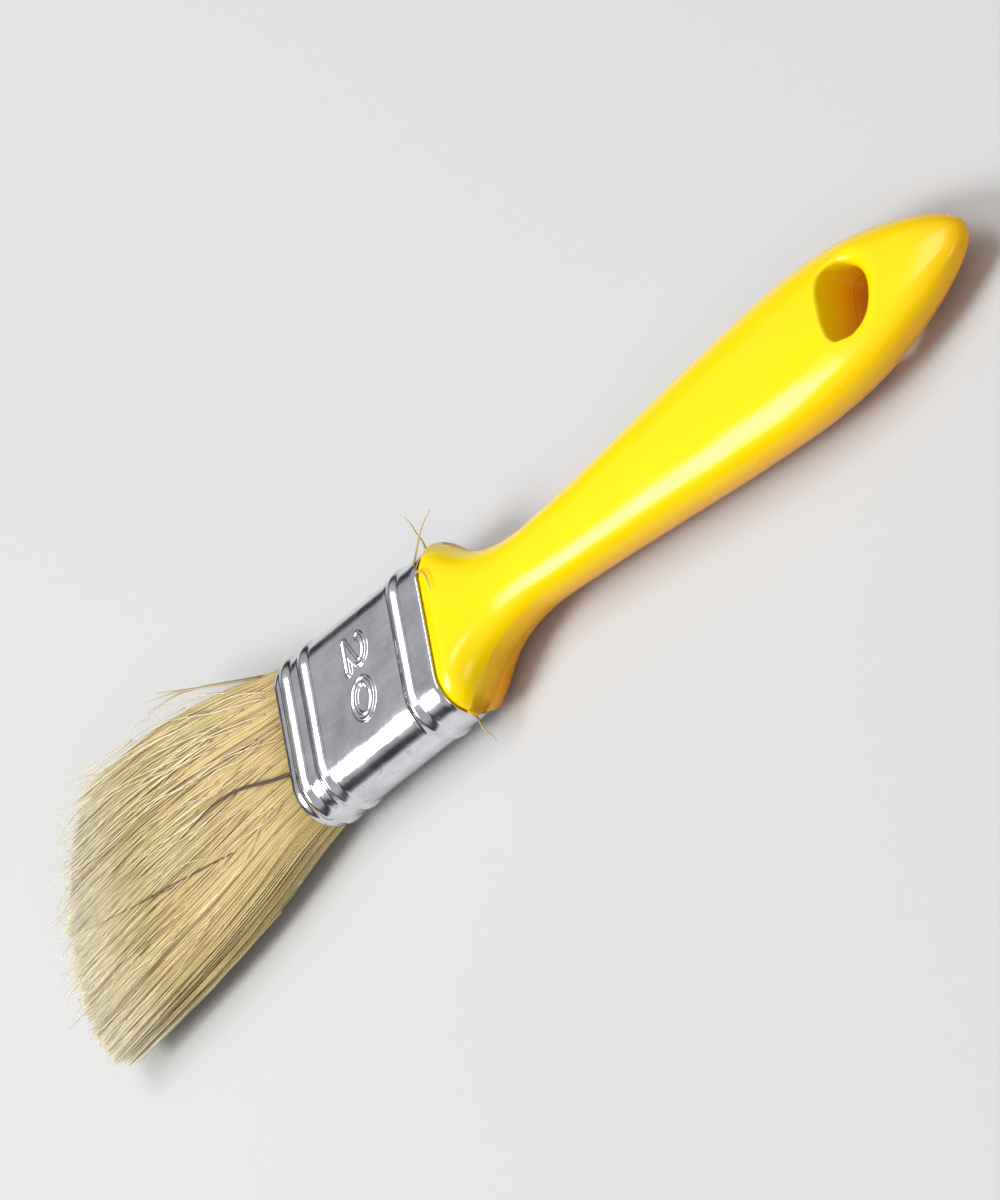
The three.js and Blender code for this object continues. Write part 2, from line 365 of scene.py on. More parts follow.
def pale_wood():
    """Sawn wood with grain along the brush."""
    look = Shader("pale_wood")
    grain = look.noise(look.stretched(60, 1800, 1800), 1.0, 6.0, 0.6)
    colour = look.ramp(grain, (0.3, (0.30, 0.16, 0.06)), (0.7, (0.56, 0.36, 0.17)))
    look.set(Base_Color=colour, Roughness=0.8, Normal=look.bump(grain, 0.05 * MM))
    return look.material


def setting_resin():
    """Dark amber resin with cloudy bubbles."""
    look = Shader("setting_resin")
    cloud = look.noise(look.place, 500.0, 4.0)
    colour = look.ramp(cloud, (0.35, (0.10, 0.04, 0.01)), (0.7, (0.26, 0.13, 0.04)))
    look.set(
        Base_Color=colour,
        Roughness=look.between(cloud, 0.3, 0.7, 0.25, 0.5),
        Normal=look.bump(cloud, 0.1 * MM),
    )
    return look.material


# ---- handle -------------------------------------------------------------------------------
SHOULDER_BLEND = 14 * MM
TENON_STATIONS = MM * np.array([(-4.0, 9.4, 3.6), (0.04, 9.4, 3.6), (0.06, 9.9, 4.1)])
GRIP_STATIONS = MM * np.array([
    (0.1, 10.0, 4.2),
    (0.9, 10.3, 4.45),
    (2.0, 9.85, 4.5),
    (4.0, 7.95, 4.35),
    (7.0, 6.0, 4.0),
    (12.7, 4.62, 3.65),
    (21.5, 5.1, 3.6),
    (34.5, 6.35, 4.1),
    (50.0, 7.9, 4.5),
    (61.0, 8.5, 4.55),
    (69.5, 7.8, 4.2),
    (76.5, 5.9, 3.3),
    (81.5, 3.8, 2.3),
    (84.2, 2.05, 1.35),
    (85.2, 0.9, 0.62),
    (85.4, 0.0, 0.0),
])
# The edge in shares of the profile, with how many points each stretch gets: the tenon, the
# shoulder, the grip and the rounded end.
EDGE_STRETCHES = ((0, 0.035, 6), (0.035, 0.085, 34), (0.085, 0.9, 120), (0.9, 1, 36))
# Power of the hole's outline towards the end, of the shortening that spreads its rays, and of the
# spacing of the rows, closer at the hole.
HOLE_END_POWER = 1.8
RAY_POWER = 0.6
ROW_POWER = 1.25


def handle_profile():
    """Distance from the ferrule, half width and half thickness, evenly spaced along the handle."""
    grip = smooth_curve(GRIP_STATIONS, 400)
    return evenly_spaced(np.concatenate([TENON_STATIONS, grip]), 1200)


def on_handle(profile, along, across):
    """Points of the upper surface, for shares along the profile and across from -1 to 1: the
    ferrule's slot shape, which eases into an oval on its way to the neck."""
    shares = np.linspace(0, 1, len(profile))
    x, half_width, half_height = (np.interp(along, shares, column) for column in profile.T)
    slot_y, slot_z = slot_point(across, half_width, half_height)
    oval_y, oval_z = oval_point(across, half_width, half_height)
    roundness = smooth(x / SHOULDER_BLEND)
    y = mix(slot_y, oval_y, roundness)
    z = mix(slot_z, oval_z, roundness)
    return np.stack([x, y, z], axis=-1)


def handle_edge(settings):
    """The rectangle (along, across) that bounds the upper surface, as points in order round it."""
    stretches = [np.linspace(*stretch, endpoint=False) for stretch in EDGE_STRETCHES]
    side = np.concatenate([*stretches, [1.0]])
    end = np.linspace(-1, 1, settings.end_steps)
    legs = (
        (side, np.full_like(side, -1)),
        (np.ones_like(end), end),
        (side[::-1], np.ones_like(side)),
        (np.zeros_like(end), end[::-1]),
    )
    return np.concatenate([np.stack(leg, axis=1)[:-1] for leg in legs])


def hole_rim(angle, settings):
    """Distance of the hanging hole's wall from its middle, by angle, with the reach and the drop
    of the rounding at its mouth: crisp towards the ferrule, a deep scoop towards the end."""
    to_end = np.cos(angle)
    reach = np.where(to_end > 0, settings.hole_to_end, settings.hole_to_ferrule)
    power = mix(settings.hole_squareness, HOLE_END_POWER, smooth((to_end + 0.3) / 0.6))
    ratio = np.abs(to_end / reach) ** power + np.abs(np.sin(angle) / settings.hole_half_width) ** power
    scoop = smooth((to_end + 0.25) / 1.25)
    return ratio ** (-1 / power), mix(settings.rim_radius, settings.scoop_reach, scoop), scoop


def ray_angles(profile, edge, settings):
    """The direction in which each edge point's ray leaves the hole's middle. Distances along the
    handle are shortened, so that the rays spread evenly."""
    shares = np.linspace(0, 1, len(profile))
    middle = np.interp(settings.hole_middle, profile[:, 0], shares)
    length = np.sum(np.linalg.norm(np.diff(profile, axis=0), axis=1))
    run = (edge[:, 0] - middle) * length
    shortened = np.sign(run) * (np.abs(run) / MM) ** RAY_POWER * MM
    return np.arctan2(edge[:, 1] * SLOT_HALF_WIDTH, shortened)


def mouth_rows(profile, angle, settings):
    """Rows from the hole's wall up over its rounded rim: a quarter ellipse along each ray, hung
    from the oval surface."""
    wall, rounding, scoop = hole_rim(angle, settings)
    drop = mix(settings.rim_radius, settings.scoop_drop, scoop)
    turn = np.linspace(0, math.pi / 2, settings.rim_steps)[:, None]
    distance = wall + rounding * (1 - np.cos(turn))
    x = settings.hole_middle + distance * np.cos(angle)
    y = distance * np.sin(angle)
    half_width = np.interp(x, profile[:, 0], profile[:, 1])
    half_height = np.interp(x, profile[:, 0], profile[:, 2])
    surface = half_height * (1 - np.abs(y / half_width) ** OVAL_POWER) ** (1 / OVAL_POWER)
    return np.stack([x, y, surface - drop * (1 - np.sin(turn))], axis=2)


def skin_rows(profile, start, edge, settings):
    """Rows from the rim's last points out to the edge, straight in (along, across)."""
    shares = np.linspace(0, 1, len(profile))
    start_width = np.interp(start[:, 0], profile[:, 0], profile[:, 1])
    start_along = np.interp(start[:, 0], profile[:, 0], shares)
    sine = np.abs(start[:, 1] / start_width) ** (OVAL_POWER / 2)
    start_across = np.sign(start[:, 1]) * np.arcsin(sine) * 2 / math.pi
    step = np.linspace(0, 1, settings.skin_steps)[1:, None] ** ROW_POWER
    along = mix(start_along, edge[:, 0], step)
    across = mix(start_across, edge[:, 1], step)
    return on_handle(profile, along, across)


def handle_surface(settings):
    """The handle as one ring of rows: from the hole's rim out over the upper surface to the
    edge, back under the lower surface to the hole, and up the hole's wall."""
    profile = handle_profile()
    edge = handle_edge(settings)
    mouth = mouth_rows(profile, ray_angles(profile, edge, settings), settings)
    upper = np.concatenate([mouth, skin_rows(profile, mouth[-1], edge, settings)])
    lower = upper[::-1] * (1, 1, -1)
    wall_steps = np.linspace(0, 1, settings.wall_steps)[1:-1, None, None]
    inner = mix(lower[-1], upper[0], wall_steps)
    ring = np.concatenate([upper, lower, inner])
    points = ring.reshape(-1, 3) + (HEEL_X, 0, AXIS_Z)
    quads = grid_quads(len(ring), len(edge), wrap_rows=True, wrap_columns=True)
    points, triangles = weld(points, quads)
    return points, turned_out(points, triangles)


# ---- ferrule ------------------------------------------------------------------------------
# Where the sheet's rows grow closer for the number, and how many rows each stretch gets.
NUMBER_ROWS = (11.2 * MM, 16.2 * MM)
ROW_COUNTS = (70, 62, 50)
INSIDE_ROWS = 12
# The beads end on the narrow sides in a knuckle. Both places are sines of the outward angle.
RUN_OUT_SINE = 0.12
KNUCKLE_SINE = 0.3
# The rim's edge is turned in.
CURL_DEPTH = 0.14 * MM
CURL_LENGTH = 0.35 * MM
# The size number in millimetres, as (distance from the mouth, y): middles, half sizes and ends.
NOUGHT_MIDDLE, NOUGHT_HALF = (13.75, -2.6), (1.5, 2.1)
BOW_MIDDLE, BOW_HALF = (14.3, 3.15), (0.95, 1.5)
BOW_DEGREES = (165, -50)
# The foot of the two, then the section of a stroke: half widths, slopes and the dish in its top.
FOOT_LEFT, FOOT_RIGHT = (12.25, 4.8), (12.25, 1.35)
STROKE_HALF, STROKE_SLOPE = 0.66 * MM, 0.3 * MM
DISH_HALF, DISH_SLOPE = 0.34 * MM, 0.28 * MM
DISH_SHARE = 0.55


def slot_outline(steps_flat, steps_side):
    """Round a unit slot shape from its upper right: the flat's share, and the outward angle, of
    each point. The upper flat has more points, for the embossed number."""
    top = np.linspace(1, -1, steps_flat, endpoint=False)
    bottom = np.linspace(-1, 1, steps_side, endpoint=False)
    left = np.linspace(0.5, 1.5, steps_side, endpoint=False) * math.pi
    right = np.linspace(-0.5, 0.5, steps_side, endpoint=False) * math.pi
    shares = np.concatenate([top, np.full_like(left, -1), bottom, np.ones_like(right)])
    up, down = np.full_like(top, 0.5 * math.pi), np.full_like(bottom, 1.5 * math.pi)
    return shares, np.concatenate([up, left, down, right])


def bead_rise(x, angle, settings):
    """How far the sheet stands out at a distance from the mouth: a rounded ridge at each bead,
    with a fine rolled line each side of it. The ridges run out half way down the narrow sides."""
    rise = np.zeros(np.broadcast(x, angle).shape)
    sine = np.abs(np.sin(angle))
    run_out = smooth((sine - RUN_OUT_SINE) / 0.2)
    knuckle = np.exp(-(((sine - KNUCKLE_SINE) / 0.12) ** 2))
    for centre in settings.bead_centres:
        away = (x - centre) / settings.bead_half_length
        ridge = np.clip(1 - away**2, 0, 1) ** 1.5
        rise += settings.bead_height * ridge * run_out * (1 + 0.25 * knuckle)
        line = np.exp(-(((np.abs(away) - 1.35) / 0.16) ** 2))
        rise -= settings.line_depth * line * run_out
    return rise


def number_strokes():
    """The centre lines of the size number's two figures, as points (distance from the mouth, y).
    They are read from +Y to -Y, with their tops towards the handle. The nought is an ellipse. The
    two is an arc, a slanting stroke and a foot."""
    turn = np.linspace(0, 2 * math.pi, 120)
    nought = np.array(NOUGHT_MIDDLE) + np.stack([np.cos(turn), np.sin(turn)], axis=1) * NOUGHT_HALF
    bow = np.radians(np.linspace(*BOW_DEGREES, 60))
    head = np.array(BOW_MIDDLE) + np.stack([np.sin(bow), -np.cos(bow)], axis=1) * BOW_HALF
    share = np.linspace(0, 1, 40)[:, None]
    slant = mix(head[-1], np.array(FOOT_LEFT), share)
    foot = mix(np.array(FOOT_LEFT), np.array(FOOT_RIGHT), share)
    return MM * np.concatenate([nought, head, slant, foot])


def number_rise(x, y, settings):
    """The embossing: a raised stroke with a dished top, by distance from its centre line."""
    strokes = number_strokes()
    spot = np.stack(np.broadcast_arrays(x, y), axis=-1)
    away = np.full(spot.shape[:-1], np.inf)
    for stroke in strokes:
        away = np.minimum(away, np.hypot(spot[..., 0] - stroke[0], spot[..., 1] - stroke[1]))
    plateau = smooth((STROKE_HALF - away) / STROKE_SLOPE)
    dish = smooth((DISH_HALF - away) / DISH_SLOPE)
    return settings.number_height * (plateau - DISH_SHARE * dish)


def ferrule_surface(settings):
    """A closed sleeve: rows along its outside from mouth to heel and back along its inside. Each
    point is the slot shape pushed along its outward angle by the beads and the number."""
    length = HEEL_X - MOUTH_X
    share, angle = slot_outline(settings.flat_steps, settings.side_steps)
    number_start, number_stop = NUMBER_ROWS
    outside = np.concatenate([
        np.linspace(0, number_start, ROW_COUNTS[0], endpoint=False),
        np.linspace(number_start, number_stop, ROW_COUNTS[1], endpoint=False),
        np.linspace(number_stop, length, ROW_COUNTS[2]),
    ])[:, None]
    inside = np.linspace(length, 0, INSIDE_ROWS)[:, None]
    flat = SLOT_HALF_WIDTH - SLOT_HALF_HEIGHT
    flat_y = share * flat
    end_gap = np.minimum(outside, length - outside)
    curl = CURL_DEPTH * np.exp(-((end_gap / CURL_LENGTH) ** 2))
    on_top = np.sin(angle) > 0.999
    grow = bead_rise(outside, angle, settings) - curl
    grow += np.where(on_top, number_rise(outside, flat_y, settings), 0)
    sunk = np.full((INSIDE_ROWS, len(share)), -settings.sheet)
    reach = SLOT_HALF_HEIGHT + np.concatenate([grow, sunk])
    x = np.broadcast_to(np.concatenate([outside, inside]), reach.shape)
    y = flat_y + reach * np.cos(angle)
    z = reach * np.sin(angle)
    points = np.stack([MOUTH_X + x, y, AXIS_Z + z], axis=-1).reshape(-1, 3)
    quads = grid_quads(*reach.shape, wrap_rows=True, wrap_columns=True)
    return points, turned_out(points, quads)


# ---- bristles -----------------------------------------------------------------------------
# The fan's half width and half depth, as (distance out of the ferrule, half size).
FAN_WIDTH = MM * np.array([
    (-4, 9.2), (0, 9.4), (5, 11.0), (13, 13.2), (21, 14.6), (30, 15.3), (41, 15.6)
])
FAN_DEPTH = MM * np.array([(-4, 3.5), (0, 3.6), (8, 3.9), (25, 4.0), (41, 2.9)])
# Powers of the section's superellipse, across and through.
SECTION_POWERS = (5, 2.4)
# The tips' edge falls away by this power, and its highest place is shifted by this share.
CROWN_POWER = 2.2
CROWN_SHIFT = 0.2
ROOT_DEPTH = 3.0 * MM
TIP_TAPER = 0.62
HAIR_SIDES = 3
GROUND_CLEARANCE = 1.2
# The core's reach and its section, in shares of the fan.
CORE_REACH = 34 * MM
CORE_SHARES = np.concatenate([[0], np.full(24, 0.9), np.linspace(0.88, 0.5, 6), [0]])
CORE_WIDEST = 0.93
CORE_DEPTH = 0.8
CORE_POWERS = (0.5, 0.8)
# Loose bristles: where they start and how far they run in shares of the length, and their drift,
# wave and lift.
STRAY_START = (0.0, 0.55)
STRAY_RUN = (0.2, 0.65)
STRAY_DRIFT = 1.7 * MM
STRAY_WAVE = 0.35 * MM
STRAY_LIFT = 0.25 * MM
STRAY_ARCH = 0.35 * MM
# Bent ends: beyond this share across they lie on the fan's sides and start further back.
CURL_SIDE = 0.82
CURL_START = 0.86
CURL_SIDE_START = (0.25, 0.9)
CURL_OVERSHOOT = MM * np.array([-0.6, 1.6])
CURL_BEND = 1.3 * MM
CURL_OUTWARD = 0.6 * MM
CURL_RISE = 0.7 * MM
# Colours of the single bristles at root, middle and tip; the brown one also colours two lines of painted
# shadow.
PALE_BRISTLE = ((0.80, 0.70, 0.44), (0.90, 0.82, 0.58), (0.94, 0.88, 0.70))
TAN_BRISTLE = ((0.26, 0.15, 0.05), (0.60, 0.45, 0.20), (0.74, 0.62, 0.36))
BROWN_BRISTLE_AND_SHADOW = ((0.06, 0.030, 0.014), (0.10, 0.055, 0.028), (0.16, 0.09, 0.05))
TAN_TONE = 0.6

# Single bristles placed one by one, as (distance out of the mouth, y, height over the middle) in
# millimetres. Negative distances lie over the ferrule.
# The first dark line is a dark bristle. The second and third are painted shadow: a dark brown line for the
# shadow groove between locks.
DARK_BRISTLE_AND_SHADOW_LINES = (
    [(-1, -4.4, 3.9), (3, -3.6, 4.35), (8, -2.0, 4.6), (12, -1.6, 4.75), (16.5, -2.1, 4.7)],
    [(11, -7.7, 3.7), (15, -7.2, 4.1), (19, -6.7, 4.3), (23, -6.1, 4.4), (27, -5.4, 4.3)],
    [(21, -6.6, 4.1), (25, -5.9, 4.3), (29, -5.2, 4.3), (33, -4.4, 4.2), (37, -3.5, 3.9)],
)
DARK_THICKNESS = MM * np.array([0.46, 0.26, 0.12])
DARK_TONES = np.array([0.0, 1.0, 1.0])
TUFT_BRISTLES = (
    [(4, 10.4, 1.6), (9, 12.3, 2.0), (14, 14.3, 2.3), (18, 16.0, 2.2), (22.6, 17.2, 2.5)],
    [(4, 10.5, 1.4), (9, 12.4, 1.8), (14, 14.4, 2.1), (17, 15.8, 2.0), (21.6, 18.0, 1.7)],
    [(4, 10.6, 1.2), (9, 12.5, 1.7), (14, 14.5, 1.9), (18, 15.7, 2.1), (23.4, 16.6, 1.6)],
)
HEEL_BRISTLES = (
    [(-25.0, 9.5, 1.8), (-25.1, 10.6, 2.3), (-25.1, 11.4, 2.9), (-25.2, 12.4, 3.6), (-25.0, 13.2, 4.2)],
    [(-25.0, 7.2, 4.1), (-26.5, 8.2, 4.6), (-27.6, 9.2, 4.9), (-28.9, 10.0, 5.2), (-30.4, 10.8, 5.3)],
    [(-25.0, 6.2, 4.0), (-26.0, 5.9, 4.7), (-27.0, 5.2, 4.75), (-27.4, 4.1, 4.8), (-27.6, 2.8, 4.75)],
    [(-24.9, -9.6, -0.6), (-25, -10.4, -1), (-24.9, -11.2, -1.5), (-25.2, -12, -2.1), (-25.3, -12.6, -2.6)],
)


def fan_half_width(out):
    """Half the width of the fan, by distance out of the ferrule."""
    return np.interp(out, FAN_WIDTH[:, 0], FAN_WIDTH[:, 1])


def fan_half_depth(out):
    """Half its depth."""
    return np.interp(out, FAN_DEPTH[:, 0], FAN_DEPTH[:, 1])


def tip_crown(across, settings):
    """How far out the tips reach: a power curve that falls away to both sides, highest a little
    towards -Y."""
    return settings.length - settings.crown * np.abs(across + CROWN_SHIFT) ** CROWN_POWER


def tubes(paths, radii):
    """Closed tubes round many paths at once: a ring of points at each path point, square to the
    path, joined by quads and capped at both ends."""
    count, steps, _ = paths.shape
    sides = HAIR_SIDES
    heading = np.gradient(paths, axis=1)
    heading /= np.linalg.norm(heading, axis=2, keepdims=True)
    aside = np.cross(heading, (0.0, 0.0, 1.0))
    aside /= np.linalg.norm(aside, axis=2, keepdims=True)
    upward = np.cross(heading, aside)
    turn = np.arange(sides) / sides * 2 * math.pi
    ring = (
        np.cos(turn)[:, None] * aside[:, :, None, :] + np.sin(turn)[:, None] * upward[:, :, None, :]
    )
    points = (paths[:, :, None, :] + ring * radii[:, :, None, None]).reshape(-1, 3)
    strip = grid_quads(steps, sides, wrap_columns=True)
    first = (np.arange(count) * steps * sides)[:, None, None]
    quads = (strip[None] + first).reshape(-1, 4)
    start_cap = np.arange(sides)[::-1][None] + first[:, 0]
    end_cap = np.arange(sides)[None] + (steps - 1) * sides + first[:, 0]
    return points, quads, np.concatenate([start_cap, end_cap])


def section_spots(count, side, shell, rng):
    """Random places in the bristles' section, on one side of its middle and within a share of
    its surface, as (across, through) from -1 to 1."""
    tries = rng.uniform((-1, 0), (1, 1), (count * 12, 2))
    roundness = np.abs(tries[:, 0]) ** SECTION_POWERS[0] + tries[:, 1] ** SECTION_POWERS[1]
    kept = tries[(roundness < 1) & (roundness > 1 - shell)][:count]
    return kept * (1, side)


def hair_paths(spots, settings, rng):
    """Paths of packed hairs. Each leaves the ferrule straight, fans out in proportion to its
    place in the section, is drawn towards the middle of its lock, and bows a little. Lengths
    follow the crown of the tips, less a ragged shortening. Returns the paths and a tone for each
    hair, darker or lighter with its lock."""
    count = len(spots)
    across, through = spots.T[:, :, None]
    steps = np.linspace(0, 1, settings.hair_steps)[None, :]
    ragged = rng.exponential(settings.raggedness, (count, 1))
    crown = tip_crown(across, settings) - settings.tip_rounding * through**2
    reach = np.clip(crown - ragged, settings.shortest, None)
    out = mix(-ROOT_DEPTH, reach, steps)
    grown = np.clip(out / settings.length, 0, 1)

    locks = rng.uniform(-1, 1, settings.locks)
    nearest = np.argmin(np.abs(across - locks[None, :]), axis=1)
    lock_lift = rng.normal(0, settings.lock_lift, settings.locks)[nearest][:, None]
    gathered = mix(across, locks[nearest][:, None], settings.lock_pull * grown**1.5)
    bow = rng.normal(0, settings.bow, (count, 1)) * np.sin(steps * math.pi * 0.9)
    stray = rng.normal(0, settings.spread, (count, 1)) * grown**2
    rise = rng.normal(0, settings.rise, (count, 1)) * grown**2 + lock_lift * grown
    y = gathered * fan_half_width(out) + bow + stray - settings.lean * grown**2
    z = through * fan_half_depth(out) + bow * 0.3 + rise
    x = MOUTH_X - out
    lock_shade = rng.normal(0, settings.lock_shade, settings.locks)[nearest]
    tones = np.clip(rng.beta(2.2, 1.1, count) + lock_shade, 0, 1)
    return np.stack([x, y, AXIS_Z + z], axis=2), tones


def add_hairs(name, paths, thickness, tones, material, nodes=()):
    """One object of tapered hairs that stay above the resting plane, each with its tone."""
    count, steps, _ = paths.shape
    along = np.broadcast_to(np.linspace(0, 1, steps), (count, steps))
    radii = thickness[:, None] / 2 * (1 - TIP_TAPER * along**2)
    paths[..., 2] = np.maximum(paths[..., 2], radii * GROUND_CLEARANCE)
    points, quads, caps = tubes(paths, radii)
    attributes = {
        "tone": np.repeat(tones, steps * HAIR_SIDES),
        "along": np.repeat(along.reshape(-1), HAIR_SIDES),
    }
    piece = add_object(name, points, quads, caps, attributes=attributes)
    settle_piece(piece, material, "hog_bristle", *nodes)


def core_surface():
    """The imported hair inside: the fan's section as a superellipse, drawn in more towards the
    tips and closed at both ends."""
    run = np.linspace(-ROOT_DEPTH, CORE_REACH, len(CORE_SHARES) - 2)
    out = np.concatenate([run[:1], run, run[-1:]])
    turn = np.linspace(0, 2 * math.pi, 96, endpoint=False)
    shape_y = np.sign(np.cos(turn)) * np.abs(np.cos(turn)) ** CORE_POWERS[0]
    shape_z = np.sign(np.sin(turn)) * np.abs(np.sin(turn)) ** CORE_POWERS[1]
    width_shares = np.minimum(CORE_SHARES * 1.05, CORE_WIDEST)
    y = shape_y * (fan_half_width(out) * width_shares)[:, None]
    z = shape_z * (fan_half_depth(out) * CORE_SHARES * CORE_DEPTH)[:, None]
    x = np.broadcast_to((MOUTH_X - out)[:, None], y.shape)
    points = np.stack([x, y, AXIS_Z + z], axis=-1).reshape(-1, 3)
    points, triangles = weld(points, grid_quads(len(out), len(turn), wrap_columns=True))
    return points, turned_out(points, triangles)


def placed_paths(lines, settings):
    """Smooth paths through bristles that are placed one by one."""
    curves = np.stack([smooth_curve(MM * np.array(line), settings.stray_steps) for line in lines])
    return curves * (-1, 1, 1) + (MOUTH_X, 0, AXIS_Z)


def loose_paths(settings, rng):
    """Loose bristles over the fan's two faces, most of them on top. Each drifts to one side on a
    gentle wave and is lifted in its middle."""
    count = settings.strays
    start = rng.uniform(*STRAY_START, (count, 1)) * settings.length
    end = start + rng.uniform(*STRAY_RUN, (count, 1)) * settings.length
    end = np.clip(end, 0, settings.length)
    side = np.where(rng.uniform(size=(count, 1)) < settings.strays_on_top, 1.0, -1.0)
    across = rng.uniform(-0.95, 0.95, (count, 1))
    drift = rng.normal(0, STRAY_DRIFT, (count, 1))
    wave = rng.normal(0, STRAY_WAVE, (count, 1))
    phase = rng.uniform(0, 2 * math.pi, (count, 1))
    share = np.linspace(0, 1, settings.stray_steps)[None, :]
    out = mix(start, end, share)
    y = across * fan_half_width(out) + drift * share + wave * np.sin(share * 5.5 + phase)
    edge = np.clip(1 - np.abs(across) ** 4, 0.05, 1) ** 0.5
    arch = STRAY_ARCH * np.sin(share * math.pi) * np.abs(rng.normal(0, 1, (count, 1)))
    z = side * (fan_half_depth(out) * edge + STRAY_LIFT + arch)
    return np.stack([MOUTH_X - out, y, AXIS_Z + z], axis=2)


def curl_paths(settings, rng):
    """Short bent ends along the tips' edge and the fan's two sides. Each bends more and more
    towards its end."""
    count = settings.curls
    across = rng.uniform(-1, 1, (count, 1))
    share = np.linspace(0, 1, settings.stray_steps)[None, :]
    crown = tip_crown(across, settings)
    at_side = np.abs(across) > CURL_SIDE
    start = np.where(at_side, rng.uniform(*CURL_SIDE_START, (count, 1)), CURL_START)
    out = mix(crown * start, crown, share)
    out = out + rng.uniform(*CURL_OVERSHOOT, (count, 1)) * share
    outward = np.where(at_side, np.sign(across) * CURL_OUTWARD, 0)
    bend = rng.normal(0, CURL_BEND, (count, 1)) + outward
    y = across * fan_half_width(out) + bend * share**2.2
    level = rng.uniform(-0.8, 0.9, (count, 1))
    z = level * fan_half_depth(out) + rng.normal(0, CURL_RISE, (count, 1)) * share**2
    return np.stack([MOUTH_X - out, y, AXIS_Z + z], axis=2)


# ---- settings -----------------------------------------------------------------------------
def length_setting(name, description, default_mm):
    return FloatProperty(
        name=name, description=description, default=default_mm * MM, unit="LENGTH", precision=5
    )


def number_setting(name, description, default):
    return FloatProperty(name=name, description=description, default=default)


def count_setting(name, description, default):
    return IntProperty(name=name, description=description, default=default)


def angle_setting(name, description, default_degrees):
    return FloatProperty(
        name=name, description=description, default=math.radians(default_degrees), subtype="ANGLE"
    )


def colour_setting(name, description, default):
    return FloatVectorProperty(
        name=name, description=description, default=default, min=0, max=1, subtype="COLOR"
    )


class HandleSettings(PropertyGroup):
    """Sizes and colours of the handle."""

    hole_middle: length_setting("Hole middle", "Middle of the hanging hole, from the ferrule", 69.0)
    hole_half_width: length_setting("Hole half width", "Half of the hole, across the handle", 4.3)
    hole_to_ferrule: length_setting("Hole to ferrule", "From its middle to its straight edge", 2.3)
    hole_to_end: length_setting("Hole to end", "From its middle to its wall at the end", 3.4)
    hole_squareness: number_setting("Hole squareness", "Power of its edge towards the ferrule", 3.6)
    rim_radius: length_setting("Rim radius", "Rounding of the edge towards the ferrule", 0.4)
    scoop_reach: length_setting("Scoop reach", "How far the scoop runs back from the wall", 3.0)
    scoop_drop: length_setting("Scoop drop", "How deep the scoop starts", 2.7)
    # The side and low colours are painted shade, deeper orange towards the foot of the sides.
    top_colour: colour_setting("Top colour", "Of the wide faces", (1.0, 0.73, 0.0))
    side_shade_colour: colour_setting("Side colour", "Half way down the sides", (0.96, 0.48, 0.0))
    low_shade_colour: colour_setting("Low colour", "At the foot of the sides", (0.80, 0.25, 0.0))
    end_steps: count_setting("End steps", "Points across each end", 44)
    rim_steps: count_setting("Rim steps", "Rows round the hole's edge", 14)
    skin_steps: count_setting("Skin steps", "Rows from hole to edge", 44)
    wall_steps: count_setting("Wall steps", "Rows down the hole's wall", 6)


class FerruleSettings(PropertyGroup):
    """Sizes and colours of the ferrule."""

    bead_centres: FloatVectorProperty(
        name="Bead centres",
        description="Rolled beads, from the bristle mouth",
        default=(1.9 * MM, 5.1 * MM, 20.8 * MM),
        unit="LENGTH",
        precision=5,
    )
    bead_half_length: length_setting("Bead half length", "Half of a bead, along the brush", 0.74)
    bead_height: length_setting("Bead height", "How far a bead stands proud", 0.29)
    line_depth: length_setting("Line depth", "Depth of the fine lines beside the beads", 0.05)
    number_height: length_setting("Number height", "Height of the embossed size number", 0.24)
    sheet: length_setting("Sheet", "Thickness of the tin plate", 0.3)
    dull_colour: colour_setting("Dull colour", "Of the smeared places", (0.56, 0.57, 0.60))
    bright_colour: colour_setting("Bright colour", "Of the clean plate", (0.80, 0.81, 0.84))
    flat_steps: count_setting("Flat steps", "Points over the upper flat", 124)
    side_steps: count_setting("Side steps", "Points over each other side", 44)


